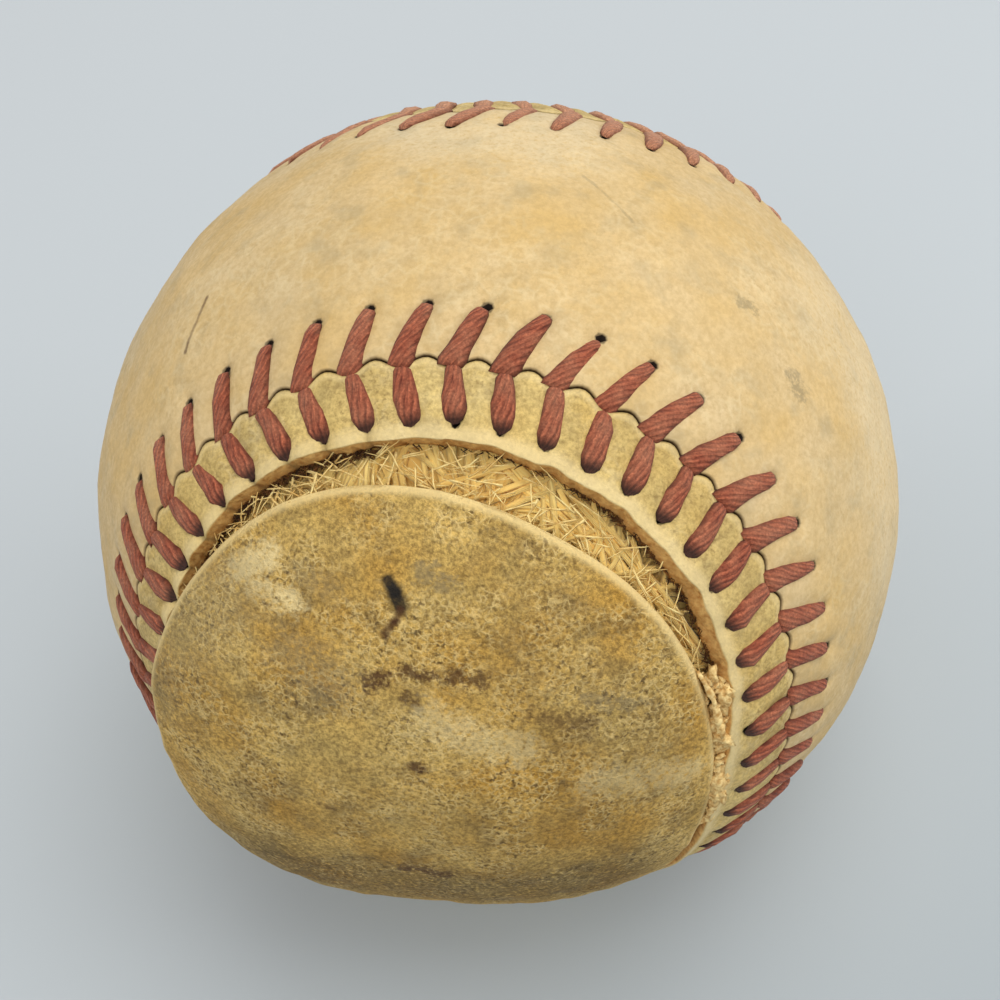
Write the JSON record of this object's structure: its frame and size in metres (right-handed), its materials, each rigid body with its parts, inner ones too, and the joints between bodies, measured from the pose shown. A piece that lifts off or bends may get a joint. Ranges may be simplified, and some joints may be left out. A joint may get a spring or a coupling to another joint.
{
  "type": "baseball",
  "caption": "Worn stitched leather ball with a cushioned cork centre, wound layers and a torn cover flap that lifts about a crease.",
  "frame": {"origin": "centre of the ball", "axes": "+Z leaves through the waist of the whole cover piece, -Y through the torn lobe, +X through a whole lobe"},
  "size_m": [0.074, 0.0738, 0.074],
  "materials": {
    "cork": "matte",
    "black_rubber": "matte",
    "red_rubber": "matte",
    "grey_wool": "matte",
    "white_wool": "matte",
    "cotton": "matte",
    "whole_leather": "worn satin",
    "torn_leather": "worn satin",
    "flap_leather": "rough and stained",
    "red_thread": "matte, faded"
  },
  "bodies": {
    "ball": {"cork_core": "cork", "lower_black_shell": "black_rubber", "upper_black_shell": "black_rubber", "red_ring": "red_rubber", "red_rubber_cover": "red_rubber", "first_wool_winding": "grey_wool", "second_wool_winding": "white_wool", "third_wool_winding": "grey_wool", "cotton_yarn": "cotton", "whole_cover_piece": "whole_leather", "torn_cover_piece": "torn_leather", "whole_side_stitches": "red_thread", "torn_side_stitches": "red_thread"},
    "flap": {"torn_flap": "flap_leather"}
  },
  "joints": [
    {"name": "flap_lift", "type": "hinge", "parent": "ball", "child": "flap", "pos_m": [0, -0.0257, -0.02662], "axis": [1, 0, 0], "range_deg": [0, 30], "stiffness_Nm_per_rad": 0.003, "springref_deg": -20.05}
  ]
}
